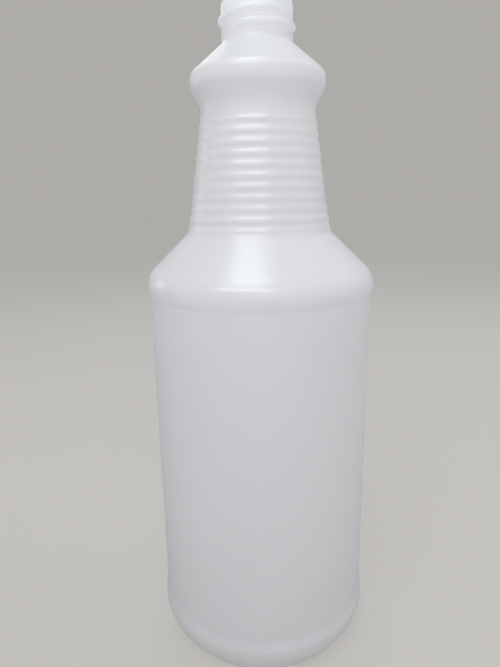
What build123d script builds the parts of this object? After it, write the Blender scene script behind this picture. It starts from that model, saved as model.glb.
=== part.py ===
from build123d import *
import os
from math import atan2, cos, degrees, radians, sin, tan

# A blow-moulded carafe bottle with a threaded neck for a trigger sprayer: one hollow piece.
# The origin is on the table, at the centre of the standing ring, and +Z runs up the bottle's axis.

# Driving dimensions: lengths in millimetres, angles in degrees from the bottle's axis
wall = 0.9
neck_wall = 2.0

# Base, recessed so that the bottle stands on a ring
push_up = 3.2
push_up_angle = 35.5
standing_ring = 3.5
pinch_off_length = 42.0
pinch_off_width = 1.6
pinch_off_height = 0.7

# Heel: a slope up from the standing ring, rounded into a narrow ring around the body
heel_radius = 17.0
heel_angle = 45.0
heel_flank = 3.8
heel_ring_height = 0.95
heel_ring_land = 0.7

# Straight label panel
panel_diameter = 87.0
panel_height = 132.6
panel_step_angle = 55.0

# Shoulder: a soft ridge, then a cone down to the grip
ridge_angle = 15.0
ridge_flank = 1.25
ridge_radius = 9.5
shoulder_angle = 46.3

# Ribbed grip, tapering upwards
grip_bottom_diameter = 54.2
grip_top_diameter = 41.8
grip_bottom_round = 1.8
lowest_rib = 1.05
rib_count = 11
rib_pitch = 3.74
rib_height = 0.4
plain_grip_above = 4.765

# Collar between the grip and the neck
flare_angle = 30.0
bead_height = 1.85
bead_land = 1.3
collar_height = 1.9
collar_flare_angle = 45.0
collar_land = 4.5
collar_top_round = 3.0
collar_cone_angle = 49.5

# Neck and its thread
neck_diameter = 25.3
neck_length = 13.2
lip_chamfer = 1.0
thread_pitch = 4.23
thread_turns = 1.23
thread_height = 1.05
thread_root_width = 2.8
thread_crest_width = 1.0
thread_below_lip = 4.3
thread_start_angle = -127.0

# Straight runs that stand for each rounding on the inside of the wall
inner_runs = 2

# How deep joined features reach into the wall, and how far the thread's run-out bites into the neck
weld = 0.4
runout_bite = 0.05


def rise(point, length, angle):
    """Go from a point along a line that leans outwards from the axis by an angle."""
    return point[0] + length * sin(radians(angle)), point[1] + length * cos(radians(angle))


def rise_to(point, radius, angle):
    """Follow such a line from a point until it reaches a radius."""
    return rise(point, (radius - point[0]) / sin(radians(angle)), angle)


def tangent_length(radius, turn):
    """Length that a rounding takes from each side of a corner."""
    return radius * tan(radians(turn) / 2)


# Corners of the outside, from the middle of the base up to the lip
panel_radius = panel_diameter / 2
heel_ring_radius = panel_radius + heel_ring_height
neck_radius = neck_diameter / 2
heel_tangent = tangent_length(heel_radius, heel_angle)
heel_run = heel_tangent + heel_flank
heel_foot = (heel_ring_radius - heel_run * sin(radians(heel_angle)), 0)
ring_inside = (heel_foot[0] - standing_ring, 0)
base_edge = (ring_inside[0] - push_up * tan(radians(push_up_angle)), push_up)
base_middle = (0, push_up)
heel_side = rise(heel_foot, heel_run, heel_angle)
heel_top = rise(heel_side, heel_tangent + heel_ring_land, 0)
panel_bottom = rise_to(heel_top, panel_radius, -panel_step_angle)
panel_top = rise(panel_bottom, panel_height, 0)
ridge = rise(panel_top, ridge_flank + tangent_length(ridge_radius, ridge_angle + shoulder_angle), ridge_angle)
grip_bottom = rise_to(ridge, grip_bottom_diameter / 2, -shoulder_angle)
ribs_end = lowest_rib + (rib_count - 0.75) * rib_pitch
grip_height = ribs_end + plain_grip_above
grip_top = (grip_top_diameter / 2, grip_bottom[1] + grip_height)
bead_bottom = rise_to(grip_top, grip_top[0] + bead_height, flare_angle)
bead_top = rise(bead_bottom, bead_land, 0)
collar_bottom = rise_to(bead_top, bead_top[0] + collar_height, collar_flare_angle)
collar_top = rise(collar_bottom, collar_land, 0)
neck_root = rise_to(collar_top, neck_radius, -collar_cone_angle)
lip = rise(neck_root, neck_length, 0)


def on_grip(distance, lift):
    """A point a distance up the grip's slope from its bottom corner, lifted off the slope."""
    slope = degrees(atan2(grip_top[0] - grip_bottom[0], grip_height))
    return rise(rise(grip_bottom, distance, slope), lift, slope + 90)


# Crests of the ribs and valleys between them, from the lowest rib up to the plain slope above them
rib_corners = []
for half_rib in range(2 * rib_count - 1):
    lift = -rib_height / 2 if half_rib % 2 else rib_height / 2
    rib_corners.append(on_grip(lowest_rib + half_rib * rib_pitch / 2, lift))
rib_corners.append(on_grip(ribs_end, 0))

# Each corner of the outside with its rounding
outer_corners = {
    base_edge: 0,
    ring_inside: 0,
    heel_foot: 0,
    heel_side: heel_radius,
    heel_top: 0,
    panel_bottom: 0,
    panel_top: 0,
    ridge: ridge_radius,
    grip_bottom: grip_bottom_round,
    **dict.fromkeys(rib_corners, 0),
    grip_top: 0,
    bead_bottom: 0,
    bead_top: 0,
    collar_bottom: 0,
    collar_top: collar_top_round,
    neck_root: 0,
    (neck_radius, lip[1] - lip_chamfer): 0,
}

# Corners that the inner wall follows: it passes by the ribs and the small steps
followed_corners = {
    base_edge: 0,
    ring_inside: 0,
    heel_foot: 0,
    heel_side: heel_radius,
    panel_bottom: 0,
    rise_to(ridge, panel_radius, -shoulder_angle): ridge_radius,
    grip_bottom: 0,
    grip_top: 0,
    bead_top: 0,
    collar_bottom: 0,
    collar_top: collar_top_round,
}


def inside(corners, start, end):
    """Corners of the inner wall: each line moved in by the wall, each rounding in short straight runs."""
    points = []
    outline = [Vector(*corner) for corner in (start, *corners, end)]
    runs = [(after - before).normalized() for before, after in zip(outline, outline[1:])]
    for corner, rounding, before, after in zip(outline[1:], corners.values(), runs, runs[1:]):
        turn = before.get_signed_angle(after, Vector(0, 0, 1))
        inward = before.rotate(Axis.Z, 90)
        mitre = inward.rotate(Axis.Z, turn / 2) / cos(radians(turn / 2))
        if rounding > wall:
            for step in range(inner_runs + 1):
                facing = inward.rotate(Axis.Z, turn * step / inner_runs)
                points.append(corner + mitre * rounding - facing * (rounding - wall))
        else:
            points.append(corner + mitre * wall)
    return [(point.X, point.Y) for point in points]


inner_corners = inside(followed_corners, base_middle, neck_root)
inner_middle = (0, push_up + wall)
bore_radius = neck_radius - neck_wall
throat = rise_to(inner_corners[-1], bore_radius, -collar_cone_angle)
lip_inside = (bore_radius, lip[1])
lip_outside = (neck_radius - lip_chamfer, lip[1])

# Thread: a bead along one helix, whose ends run out on planes that graze the neck
with BuildPart() as thread:
    with BuildLine():
        helix = Helix(thread_pitch, thread_turns * thread_pitch, neck_radius)
    with BuildSketch(Plane(helix @ 0, x_dir=(1, 0, 0), z_dir=helix % 0)):
        with BuildLine():
            Polyline(
                (-weld, -thread_root_width / 2),
                (thread_height, -thread_crest_width / 2),
                (thread_height, thread_crest_width / 2),
                (-weld, thread_root_width / 2),
                close=True,
            )
        make_face()
    sweep(path=helix, is_frenet=True)
    for turn in (0, thread_turns):
        with Locations(Location((0, 0, turn * thread_pitch), (0, 0, turn * 360))):
            with Locations((neck_radius - runout_bite, 0, 0)):
                Box(
                    2 * thread_height,
                    2 * neck_radius,
                    thread_pitch,
                    align=(Align.MIN, Align.CENTER, Align.CENTER),
                    mode=Mode.SUBTRACT,
                )

# Bottle: the section between the outer and the inner wall, turned about the axis
with BuildPart() as bottle:
    with BuildSketch(Plane.XZ):
        with BuildLine():
            FilletPolyline(base_middle, *outer_corners, lip_outside, radius=outer_corners.values())
            Polyline(lip_outside, lip_inside, throat, *reversed(inner_corners), inner_middle, base_middle)
        make_face()
    revolve(axis=Axis.Z)

    # Weld line that the mould pinches across the recessed base
    with BuildSketch(Plane.XY.offset(push_up - pinch_off_height)):
        SlotOverall(pinch_off_length, pinch_off_width)
    extrude(amount=pinch_off_height + weld)

    thread_foot = lip[1] - thread_below_lip - thread_turns * thread_pitch
    with Locations(Location((0, 0, thread_foot), (0, 0, thread_start_angle))):
        add(thread.part)

bottle.part.label = "bottle"
os.makedirs("parts", exist_ok=True)
export_step(bottle.part, "parts/bottle.step")
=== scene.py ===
"""Looks of a blow-moulded carafe bottle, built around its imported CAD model. Lengths are in metres."""

from cmath import phase
from math import acos, ceil, cos, pi, radians, sin, tan

import bpy
import numpy as np
from mathutils import Matrix, Vector


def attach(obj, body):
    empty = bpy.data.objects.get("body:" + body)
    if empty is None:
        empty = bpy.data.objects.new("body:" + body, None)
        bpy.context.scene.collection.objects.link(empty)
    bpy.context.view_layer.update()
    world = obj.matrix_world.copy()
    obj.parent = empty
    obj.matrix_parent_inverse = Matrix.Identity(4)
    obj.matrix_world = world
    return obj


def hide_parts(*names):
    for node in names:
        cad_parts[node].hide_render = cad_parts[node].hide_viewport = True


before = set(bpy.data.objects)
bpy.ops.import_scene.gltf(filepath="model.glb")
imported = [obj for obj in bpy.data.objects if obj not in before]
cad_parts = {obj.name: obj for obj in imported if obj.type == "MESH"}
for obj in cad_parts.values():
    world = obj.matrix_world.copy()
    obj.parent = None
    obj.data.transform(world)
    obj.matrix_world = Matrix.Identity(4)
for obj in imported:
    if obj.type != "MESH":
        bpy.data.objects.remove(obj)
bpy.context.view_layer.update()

MM = 0.001

# Driving dimensions of the bottle, as in the CAD model; angles are in degrees from its axis
WALL = 0.9 * MM
NECK_WALL = 2.0 * MM
PUSH_UP = 3.2 * MM
PUSH_UP_ANGLE = 35.5
STANDING_RING = 3.5 * MM
PINCH_OFF_LENGTH = 42.0 * MM
PINCH_OFF_WIDTH = 1.6 * MM
PINCH_OFF_HEIGHT = 0.7 * MM
HEEL_RADIUS = 17.0 * MM
HEEL_ANGLE = 45.0
HEEL_FLANK = 3.8 * MM
HEEL_RING_HEIGHT = 0.95 * MM
HEEL_RING_LAND = 0.7 * MM
PANEL_RADIUS = 43.5 * MM
HEEL_RING_RADIUS = PANEL_RADIUS + HEEL_RING_HEIGHT
PANEL_HEIGHT = 132.6 * MM
PANEL_STEP_ANGLE = 55.0
RIDGE_ANGLE = 15.0
RIDGE_FLANK = 1.25 * MM
RIDGE_RADIUS = 9.5 * MM
SHOULDER_ANGLE = 46.3
GRIP_BOTTOM_RADIUS = 27.1 * MM
GRIP_TOP_RADIUS = 20.9 * MM
LOWEST_RIB = 1.05 * MM
RIB_COUNT = 11
RIB_PITCH = 3.74 * MM
RIB_HEIGHT = 0.4 * MM
RIBS_END = LOWEST_RIB + (RIB_COUNT - 0.75) * RIB_PITCH
PLAIN_GRIP_ABOVE = 4.765 * MM
FLARE_ANGLE = 30.0
BEAD_HEIGHT = 1.85 * MM
BEAD_LAND = 1.3 * MM
COLLAR_HEIGHT = 1.9 * MM
COLLAR_FLARE_ANGLE = 45.0
COLLAR_LAND = 4.5 * MM
COLLAR_TOP_ROUND = 3.0 * MM
COLLAR_CONE_ANGLE = 49.5
NECK_RADIUS = 12.65 * MM
NECK_LENGTH = 13.2 * MM
THREAD_PITCH = 4.23 * MM
THREAD_TURNS = 1.23
THREAD_HEIGHT = 1.05 * MM
THREAD_ROOT_WIDTH = 2.8 * MM
THREAD_CREST_WIDTH = 1.0 * MM
THREAD_BELOW_LIP = 4.3 * MM
THREAD_START_ANGLE = -127.0

# Roundings that blowing leaves on the small edges
FOOT_ROUND = 5.0 * MM
BASE_ROUND = 1.2 * MM
RING_ROUND = 5.0 * MM
RING_FOOT_ROUND = 12.0 * MM
PANEL_TOP_ROUND = 2.5 * MM
RIB_ROUND = 4.2 * MM
TOP_RIB_ROUND = 2.9 * MM
GRIP_BOTTOM_ROUND = 3.9 * MM
GRIP_TOP_ROUND = 8.0 * MM
BEAD_ROUND = 4.0 * MM
COLLAR_BOTTOM_ROUND = 4.4 * MM
NECK_ROOT_ROUND = 1.8 * MM
LIP_OUTER_ROUND = 1.0 * MM
LIP_INNER_ROUND = 0.4 * MM

# Where the blown wall doesn't reach into the mould's corners: it eases from the heel ring into the panel
# over a height, and bridges a share of the groove between the bead and the collar
RING_EASE = 4.0 * MM
BRIDGED = 0.7

# The grip's foot: how far below the grip's corner it meets the shoulder, and how far it flares out
# at the lowest rib, over a reach up the grip
GRIP_FOOT = 0.9 * MM
GRIP_FLARE = 0.3 * MM
GRIP_FLARE_REACH = 7.5 * MM

# Parting lines, where the two halves of the mould met, on the left and the right
SEAM_HEIGHT = 0.12 * MM
SEAM_WIDTH = 1.0 * MM

# Section of the weld line under the base: shares of its width, and of its height up from the base's face
PINCH_OFF_ROWS = ((1.0, 0.4), (1.0, -0.5), (0.8, -0.85), (0.5, -1.0))
PINCH_OFF_END_STEPS = 12

# Fineness of the mesh; the neck's even rows stop short of its end roundings, by a share of each
COLUMNS = 180
SEAM_COLUMNS = (-1, -0.5, 0.5, 1)
ARC_STEP = radians(7)
NECK_ROW = 0.22 * MM
NECK_ROW_MARGIN = 1.2

# Plastic: two tints, a range of roughness, noise in cells per metre, and the share of the light that passes
# each face of the wall, which weakens the gloss, so that the index of refraction stands above the real one
DARKER_TINT = (0.89, 0.895, 0.903, 1)
LIGHTER_TINT = (0.91, 0.913, 0.92, 1)
SMOOTHEST = 0.20
ROUGHEST = 0.26
CLOUD_SCALE = 40.0
GRAIN_SCALE = 1800.0
WAVE_SCALE = 90.0
GRAIN_DEPTH = 0.03 * MM
WAVE_DEPTH = 0.25 * MM
GLOSS_IOR = 1.7
TRANSLUCENCY = 0.68

# The photograph's camera: where it stands, how it is turned, and its focal length in pixels
CAMERA_DISTANCE = 203.0 * MM
CAMERA_HEIGHT = 184.0 * MM
CAMERA_PITCH = -14.61
CAMERA_YAW = 1.21
CAMERA_ROLL = -0.95
FOCAL_PIXELS = 509.4
IMAGE_HEIGHT_PIXELS = 667
SENSOR = 36.0

# Studio: an even light from all around, and a floor that glows for the camera so that it meets the backdrop
AMBIENT = 0.27
FLOOR_GLOW = 0.39
FLOOR_TONE = 0.13
FLOOR_BOUNCE = 0.45
FLOOR_REACH = 30.0
FLOOR_SIDES = 64
LAMP_AIM = 170.0 * MM
WARM = (1.0, 0.97, 0.93)
SKY = (0.97, 1.0, 1.04)
COOL = (0.94, 0.97, 1.06)
WHITE = (1.0, 1.0, 1.0)


def lean(angle):
    """Direction in the section plane that leans outwards from the axis by an angle in degrees."""
    return complex(sin(radians(angle)), cos(radians(angle)))


def rise_to(point, radius, angle):
    """Go from a point of the section along a leaning line until it reaches a radius."""
    return point + lean(angle) * (radius - point.real) / lean(angle).real


def rise_across(low, high, height):
    """The point at a height on the straight line between two points of the section."""
    return low + (high - low) * (height - low.imag) / (high - low).imag


def tangent_length(rounding, turn):
    """Length that a rounding takes from each side of a corner that turns by an angle in degrees."""
    return rounding * tan(radians(turn) / 2)


def smooth(share):
    """Ease from 0 to 1."""
    share = np.clip(share, 0, 1)
    return share * share * (3 - 2 * share)


def outside_corners():
    """Corners of the outside with their roundings, from the base to the neck's root, as radius + height * i.

    They come in four groups: below the ribs, the ribs, the plain corner that the inner wall has in their
    place, and above the ribs.
    """
    heel_tangent = tangent_length(HEEL_RADIUS, HEEL_ANGLE)
    heel_run = heel_tangent + HEEL_FLANK
    heel_foot = complex(HEEL_RING_RADIUS - heel_run * lean(HEEL_ANGLE).real, 0)
    ring_inside = heel_foot - STANDING_RING
    base_edge = ring_inside + complex(-PUSH_UP * tan(radians(PUSH_UP_ANGLE)), PUSH_UP)
    heel_side = heel_foot + heel_run * lean(HEEL_ANGLE)
    heel_top = heel_side + (heel_tangent + HEEL_RING_LAND) * lean(0)
    panel_bottom = complex(PANEL_RADIUS, heel_top.imag + RING_EASE)
    panel_top = rise_to(heel_top, PANEL_RADIUS, -PANEL_STEP_ANGLE) + PANEL_HEIGHT * lean(0)
    ridge_run = RIDGE_FLANK + tangent_length(RIDGE_RADIUS, RIDGE_ANGLE + SHOULDER_ANGLE)
    ridge = panel_top + ridge_run * lean(RIDGE_ANGLE)
    grip_bottom = rise_to(ridge, GRIP_BOTTOM_RADIUS, -SHOULDER_ANGLE)
    grip_foot = grip_bottom - GRIP_FOOT * lean(-SHOULDER_ANGLE)
    grip_top = complex(GRIP_TOP_RADIUS, grip_bottom.imag + RIBS_END + PLAIN_GRIP_ABOVE)
    bead_bottom = rise_to(grip_top, grip_top.real + BEAD_HEIGHT, FLARE_ANGLE)
    groove = bead_bottom + BEAD_LAND * lean(0)
    collar_bottom = rise_to(groove, groove.real + COLLAR_HEIGHT, COLLAR_FLARE_ANGLE)
    collar_top = collar_bottom + COLLAR_LAND * lean(0)
    bead_top = groove + BRIDGED * (rise_across(bead_bottom, collar_bottom, groove.imag) - groove)
    neck_root = rise_to(collar_top, NECK_RADIUS, -COLLAR_CONE_ANGLE)
    below_ribs = {
        base_edge: BASE_ROUND,
        ring_inside: BASE_ROUND,
        heel_foot: FOOT_ROUND,
        heel_side: HEEL_RADIUS,
        heel_top: RING_ROUND,
        panel_bottom: RING_FOOT_ROUND,
        panel_top: PANEL_TOP_ROUND,
        ridge: RIDGE_RADIUS,
    }
    ribs = {grip_foot: GRIP_BOTTOM_ROUND, **rib_corners(grip_bottom, grip_top)}
    plain_grip = {grip_bottom: GRIP_BOTTOM_ROUND}
    above_ribs = {
        grip_top: GRIP_TOP_ROUND,
        bead_bottom: BEAD_ROUND,
        bead_top: BEAD_ROUND,
        collar_bottom: COLLAR_BOTTOM_ROUND,
        collar_top: COLLAR_TOP_ROUND,
        neck_root: NECK_ROOT_ROUND,
    }
    return below_ribs, ribs, plain_grip, above_ribs


def rib_corners(grip_bottom, grip_top):
    """Crests of the ribs and valleys between them, from the lowest rib up to the plain slope above them."""
    along = (grip_top - grip_bottom) / abs(grip_top - grip_bottom)
    outward = -1j * along
    corners = {}
    for half_rib in range(2 * RIB_COUNT - 1):
        above_lowest = half_rib * RIB_PITCH / 2
        flare = GRIP_FLARE * smooth(1 - above_lowest / GRIP_FLARE_REACH)
        lift = flare - RIB_HEIGHT / 2 if half_rib % 2 else flare + RIB_HEIGHT / 2
        corners[grip_bottom + (LOWEST_RIB + above_lowest) * along + lift * outward] = RIB_ROUND
    top_rib = list(corners)[-1]
    corners[top_rib] = TOP_RIB_ROUND
    corners[grip_bottom + RIBS_END * along] = TOP_RIB_ROUND
    return corners


def turns(points):
    """Direction before and after each inner point of an outline, and the angle between them."""
    runs = [(after - before) / abs(after - before) for before, after in zip(points, points[1:])]
    return [(before, after, phase(after / before)) for before, after in zip(runs, runs[1:])]


def moved_in(corners, start, end):
    """Corners of the inner wall, with their roundings: each line of the outside moved in by the wall."""
    inner = {}
    for (corner, rounding), (before, after, turn) in zip(corners.items(), turns([start, *corners, end])):
        mitre = 1j * (before + after) / abs(before + after) / cos(turn / 2)
        inner[corner + WALL * mitre] = rounding - WALL if turn > 0 else rounding + WALL
    return inner


def rounded(corners, start, end):
    """Points along an outline from start to end, with each corner's rounding as an arc."""
    points = [start]
    for (corner, rounding), (before, after, turn) in zip(corners.items(), turns([start, *corners, end])):
        if rounding <= 0 or turn == 0:
            points.append(corner)
            continue
        first = corner - before * rounding * tan(abs(turn) / 2)
        hub = first + before * (1j if turn > 0 else -1j) * rounding
        steps = max(2, ceil(abs(turn) / ARC_STEP))
        for step in range(steps + 1):
            bend = complex(cos(turn * step / steps), sin(turn * step / steps))
            points.append(hub + (first - hub) * bend)
    return points + [end]


def wall_section():
    """Points of the bottle's section: up the outside to the lip's middle, and down the inside from there."""
    below_ribs, ribs, plain_grip, above_ribs = outside_corners()
    neck_root = list(above_ribs)[-1]
    lip_height = neck_root.imag + NECK_LENGTH
    lowest_row = neck_root.imag + NECK_ROW_MARGIN * NECK_ROOT_ROUND
    neck_rows = np.arange(lowest_row, lip_height - NECK_ROW_MARGIN * LIP_OUTER_ROUND, NECK_ROW)
    outer = {**below_ribs, **ribs, **above_ribs}
    outer.update({complex(NECK_RADIUS, height): 0 for height in neck_rows})
    outer[complex(NECK_RADIUS, lip_height)] = LIP_OUTER_ROUND
    lip_middle = complex(NECK_RADIUS - NECK_WALL / 2, lip_height)
    outside = rounded(outer, complex(0, PUSH_UP), lip_middle)

    followed = {**below_ribs, **plain_grip, **above_ribs}
    followed.pop(neck_root)
    inner = moved_in(followed, complex(0, PUSH_UP), neck_root)
    bore_radius = NECK_RADIUS - NECK_WALL
    throat = rise_to(list(inner)[-1], bore_radius, -COLLAR_CONE_ANGLE)
    inner[throat] = NECK_ROOT_ROUND
    inner[complex(bore_radius, lip_height)] = LIP_INNER_ROUND
    inside = rounded(inner, complex(0, PUSH_UP + WALL), lip_middle)
    return outside, inside[-2::-1]


def thread_lift(height, angle, lip_height):
    """How far the thread stands out of the neck at a height and an angle around the axis."""
    start = radians(THREAD_START_ANGLE)
    length = 2 * pi * THREAD_TURNS
    run_out = acos(NECK_RADIUS / (NECK_RADIUS + THREAD_HEIGHT))
    foot = lip_height - THREAD_BELOW_LIP - THREAD_TURNS * THREAD_PITCH
    flank = (THREAD_ROOT_WIDTH - THREAD_CREST_WIDTH) / 2
    lift = np.zeros(np.broadcast(height, angle).shape)
    for turn in range(ceil(THREAD_TURNS)):
        along = (angle - start) % (2 * pi) + 2 * pi * turn
        off_centre = np.abs(height - foot - THREAD_PITCH * along / (2 * pi))
        section = smooth((THREAD_ROOT_WIDTH / 2 - off_centre) / flank)
        fade = smooth(along / run_out) * smooth((length - along) / run_out)
        lift = np.maximum(lift, THREAD_HEIGHT * section * fade)
    return lift


def column_angles():
    """Angles of the mesh's columns: even, with close ones at the parting lines."""
    seam_half = SEAM_WIDTH / 2 / PANEL_RADIUS
    angles = set(np.arange(COLUMNS) * 2 * pi / COLUMNS)
    for seam in (0, pi):
        angles.update(seam + seam_half * share for share in SEAM_COLUMNS)
    return np.array(sorted(angle % (2 * pi) for angle in angles))


def seam_lift(angle):
    """How far the parting lines stand out at an angle around the axis."""
    from_seam = np.abs((angle + pi / 2) % pi - pi / 2)
    return SEAM_HEIGHT * smooth(1 - from_seam * PANEL_RADIUS / (SEAM_WIDTH / 2))


def outer_radii(point, angles, lip_height):
    """Radii of one row of the outside, with the thread and the parting lines on it."""
    radii = np.full(len(angles), point.real)
    if PUSH_UP < point.imag < lip_height - LIP_OUTER_ROUND:
        radii += seam_lift(angles)
        if point.imag > lip_height - NECK_LENGTH:
            radii += thread_lift(point.imag, angles, lip_height)
        radii = np.minimum(radii, HEEL_RING_RADIUS)
    return radii


def lathe(outside, inside):
    """Vertices and faces of the wall, turned about the axis and closed at the middle of the base."""
    angles = column_angles()
    columns = len(angles)
    lip_height = outside[-1].imag
    rows = [(point.imag, outer_radii(point, angles, lip_height)) for point in outside[1:]]
    rows += [(point.imag, np.full(columns, point.real)) for point in inside[:-1]]
    vertices = [(0, 0, outside[0].imag), (0, 0, inside[-1].imag)]
    for height, radii in rows:
        for radius, angle in zip(radii, angles):
            vertices.append((radius * cos(angle), radius * sin(angle), height))
    faces = []
    last = (len(rows) - 1) * columns
    for column in range(columns):
        here = 2 + column
        there = 2 + (column + 1) % columns
        faces.append((0, there, here))
        faces.append((1, last + here, last + there))
        for low in range(0, last, columns):
            faces.append((low + here, low + there, low + columns + there, low + columns + here))
    return vertices, faces


def pinch_off():
    """Vertices and faces of the weld line under the base: a low bar with round ends and a soft crest."""
    ends = [pi / 2 + step * pi / PINCH_OFF_END_STEPS for step in range(PINCH_OFF_END_STEPS + 1)]
    outline = [(-1, angle) for angle in ends] + [(1, angle + pi) for angle in ends]
    shift = PINCH_OFF_LENGTH / 2 - PINCH_OFF_WIDTH / 2
    vertices = []
    for width, rise in PINCH_OFF_ROWS:
        reach = PINCH_OFF_WIDTH / 2 * width
        height = PUSH_UP + rise * PINCH_OFF_HEIGHT
        for side, angle in outline:
            vertices.append((side * shift + reach * cos(angle), reach * sin(angle), height))
    count = len(outline)
    crest = (len(PINCH_OFF_ROWS) - 1) * count
    faces = [tuple(range(count)), tuple(reversed(range(crest, crest + count)))]
    for low in range(0, crest, count):
        for i in range(count):
            j = (i + 1) % count
            faces.append((low + j, low + i, low + count + i, low + count + j))
    return vertices, faces


def joined(*meshes):
    """Put several lists of vertices and faces into one."""
    vertices, faces = [], []
    for more_vertices, more_faces in meshes:
        shift = len(vertices)
        vertices += more_vertices
        faces += [tuple(index + shift for index in face) for face in more_faces]
    return vertices, faces


def add_object(name, vertices, faces, material):
    """A smooth mesh object in the scene, with its material."""
    mesh = bpy.data.meshes.new(name)
    mesh.from_pydata(vertices, [], faces)
    mesh.shade_smooth()
    mesh.materials.append(material)
    mesh.validate()
    thing = bpy.data.objects.new(name, mesh)
    bpy.context.scene.collection.objects.link(thing)
    return thing


def node_adder(tree):
    """A function that adds a node to a tree, with its settings and its inputs."""

    def add(kind, inputs=(), **settings):
        node = tree.nodes.new(kind)
        for key, value in settings.items():
            setattr(node, key, value)
        for key, value in dict(inputs).items():
            if isinstance(value, bpy.types.NodeSocket):
                tree.links.new(value, node.inputs[key])
            else:
                node.inputs[key].default_value = value
        return node

    return add


def new_material(name):
    """A material with nodes, its node tree, its Principled shader and a function that adds a node."""
    material = bpy.data.materials.new(name)
    material.use_nodes = True
    tree = material.node_tree
    shader = next(node for node in tree.nodes if node.type == "BSDF_PRINCIPLED")
    return material, tree, shader, node_adder(tree)


def natural_polyethylene():
    """Milky, satin, uncoloured polyethylene, with soft clouds in its tint and the mould's fine grain."""
    material, tree, shader, add = new_material("natural_polyethylene")
    place = add("ShaderNodeTexCoord").outputs["Object"]

    # Flow of the melt, drawn out along the bottle's axis
    drawn = add("ShaderNodeMapping", {"Vector": place, "Scale": (1.0, 1.0, 0.3)}).outputs["Vector"]
    clouds = add("ShaderNodeTexNoise", {"Vector": drawn, "Scale": CLOUD_SCALE, "Detail": 1.0}).outputs["Fac"]
    tint = add("ShaderNodeMix", {"Factor": clouds}, data_type="RGBA")
    tint.inputs["A"].default_value = DARKER_TINT
    tint.inputs["B"].default_value = LIGHTER_TINT
    tree.links.new(tint.outputs["Result"], shader.inputs["Base Color"])

    # Satin gloss that wanders a little
    gloss = add("ShaderNodeMapRange", {"Value": clouds, "To Min": SMOOTHEST, "To Max": ROUGHEST})
    tree.links.new(gloss.outputs["Result"], shader.inputs["Roughness"])
    shader.inputs["IOR"].default_value = GLOSS_IOR
    shader.inputs["Specular IOR Level"].default_value = 1.0

    # Fine grain over a slight waviness of the wall
    grain = add("ShaderNodeTexNoise", {"Vector": place, "Scale": GRAIN_SCALE, "Detail": 2.0}).outputs["Fac"]
    waves = add("ShaderNodeTexNoise", {"Vector": place, "Scale": WAVE_SCALE, "Detail": 1.0}).outputs["Fac"]
    wavy = add("ShaderNodeBump", {"Height": waves, "Strength": 0.12, "Distance": WAVE_DEPTH})
    bump = add("ShaderNodeBump", {"Height": grain, "Strength": 0.15, "Distance": GRAIN_DEPTH})
    tree.links.new(wavy.outputs["Normal"], bump.inputs["Normal"])
    tree.links.new(bump.outputs["Normal"], shader.inputs["Normal"])

    # Light that comes through the thin wall
    through = add("ShaderNodeBsdfTranslucent", {"Color": tint.outputs["Result"]}).outputs["BSDF"]
    milky = add("ShaderNodeMixShader", {0: TRANSLUCENCY, 1: shader.outputs["BSDF"], 2: through})
    output = next(node for node in tree.nodes if node.type == "OUTPUT_MATERIAL")
    tree.links.new(milky.outputs["Shader"], output.inputs["Surface"])
    return material


def seen_directly(add):
    """A factor: 1 for what the camera sees, straight, mirrored or through something clear, and else 0."""
    path = add("ShaderNodeLightPath").outputs
    clear = {0: path["Is Transmission Ray"], 1: path["Is Diffuse Ray"]}
    mirrored = {0: add("ShaderNodeMath", clear, operation="SUBTRACT").outputs[0], 1: path["Is Glossy Ray"]}
    seen = {0: add("ShaderNodeMath", mirrored, operation="MAXIMUM").outputs[0], 1: path["Is Camera Ray"]}
    return add("ShaderNodeMath", seen, operation="MAXIMUM").outputs[0]


def shade(tone, level):
    """An opaque colour: a tone at a level."""
    return tuple(level * share for share in tone) + (1,)


def pale_floor():
    """Matt floor that is pale to the camera, shows the bottle's shadow and throws some light back up."""
    material, tree, shader, add = new_material("pale_floor")
    seen = seen_directly(add)
    tone = add("ShaderNodeMix", {"Factor": seen}, data_type="RGBA")
    tone.inputs["A"].default_value = shade(WARM, FLOOR_BOUNCE)
    tone.inputs["B"].default_value = shade(WARM, FLOOR_TONE)
    tree.links.new(tone.outputs["Result"], shader.inputs["Base Color"])
    glow = add("ShaderNodeMath", {0: seen, 1: FLOOR_GLOW}, operation="MULTIPLY")
    tree.links.new(glow.outputs[0], shader.inputs["Emission Strength"])
    shader.inputs["Emission Color"].default_value = shade(WARM, 1)
    shader.inputs["Roughness"].default_value = 0.9
    shader.inputs["Specular IOR Level"].default_value = 0.0
    return material


def add_floor():
    """A round floor under the bottle."""
    angles = [2 * pi * side / FLOOR_SIDES for side in range(FLOOR_SIDES)]
    rim = [(FLOOR_REACH * cos(angle), FLOOR_REACH * sin(angle), 0) for angle in angles]
    add_object("floor", rim, [tuple(range(FLOOR_SIDES))], pale_floor())


def add_world():
    """A pale backdrop for the camera, and an even light for the bottle."""
    world = bpy.data.worlds.new("studio")
    bpy.context.scene.world = world
    world.use_nodes = True
    add = node_adder(world.node_tree)
    tone = add("ShaderNodeMix", {"Factor": seen_directly(add)}, data_type="RGBA")
    tone.inputs["A"].default_value = shade(SKY, AMBIENT)
    tone.inputs["B"].default_value = shade(WARM, FLOOR_GLOW + FLOOR_TONE * AMBIENT)
    backdrop = next(node for node in world.node_tree.nodes if node.type == "BACKGROUND")
    world.node_tree.links.new(tone.outputs["Result"], backdrop.inputs["Color"])


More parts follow.
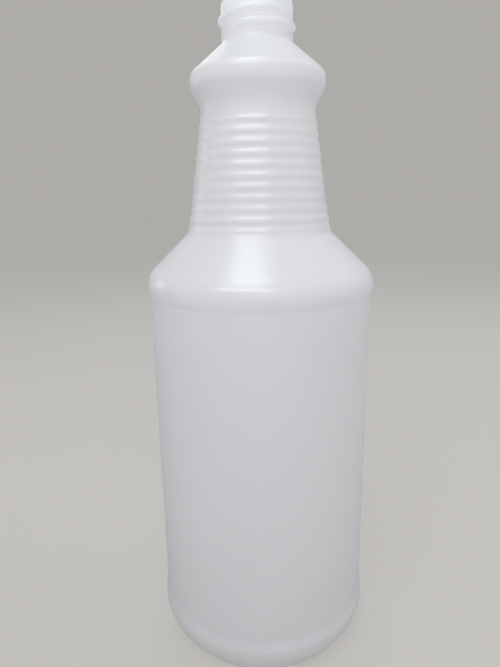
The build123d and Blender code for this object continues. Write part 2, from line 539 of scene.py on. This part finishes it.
def add_lamp(name, azimuth, elevation, distance, size, power, tone=WHITE, mirrored=True):
    """A soft lamp that looks at the bottle's grip; azimuth 0 is the camera's side, and + is to the right.

    Its size is its width and its length. One that isn't mirrored lights the bottle but shows in no gloss.
    """
    aim = Vector((0, 0, LAMP_AIM))
    flat = cos(radians(elevation))
    towards = Vector((flat * sin(radians(azimuth)), -flat * cos(radians(azimuth)), sin(radians(elevation))))
    data = bpy.data.lights.new(name, "AREA")
    data.shape = "RECTANGLE"
    data.energy = power
    data.color = tone
    data.size, data.size_y = size
    lamp = bpy.data.objects.new(name, data)
    lamp.visible_glossy = mirrored
    turn = towards.to_track_quat("Z", "Y").to_matrix().to_4x4()
    lamp.matrix_world = Matrix.Translation(aim + distance * towards) @ turn
    bpy.context.scene.collection.objects.link(lamp)


def add_camera():
    """The photograph's camera."""
    data = bpy.data.cameras.new("camera")
    data.sensor_fit = "VERTICAL"
    data.sensor_height = SENSOR
    data.lens = SENSOR * FOCAL_PIXELS / IMAGE_HEIGHT_PIXELS
    data.clip_start = 0.01
    camera = bpy.data.objects.new("camera", data)
    yaw = Matrix.Rotation(radians(CAMERA_YAW), 4, "Z")
    pitch = Matrix.Rotation(radians(90 + CAMERA_PITCH), 4, "X")
    roll = Matrix.Rotation(radians(CAMERA_ROLL), 4, "Z")
    camera.matrix_world = Matrix.Translation((0, -CAMERA_DISTANCE, CAMERA_HEIGHT)) @ yaw @ pitch @ roll
    bpy.context.scene.collection.objects.link(camera)
    bpy.context.scene.camera = camera


bottle = add_object("blown_bottle", *joined(lathe(*wall_section()), pinch_off()), natural_polyethylene())
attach(bottle, "root")
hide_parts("bottle")

add_floor()
add_world()
add_lamp("strip", azimuth=-28, elevation=70, distance=0.8, size=(0.4, 0.4), power=2.5, tone=COOL)
add_lamp("front", azimuth=-17, elevation=40, distance=0.6, size=(0.56, 0.13), power=1.4)
add_lamp("fill", azimuth=0, elevation=25, distance=1.0, size=(0.8, 0.6), power=3.9, mirrored=False)
add_lamp("left", azimuth=-115, elevation=8, distance=0.5, size=(0.14, 0.14), power=0.14)
add_lamp("right", azimuth=100, elevation=28, distance=0.8, size=(0.8, 0.6), power=3.0, mirrored=False)
add_lamp("back", azimuth=180, elevation=50, distance=0.8, size=(0.6, 0.6), power=2.2, mirrored=False)
add_lamp("rim", azimuth=-158, elevation=36, distance=0.8, size=(0.4, 0.4), power=0.8)
add_camera()
bpy.context.scene.view_settings.view_transform = "Standard"
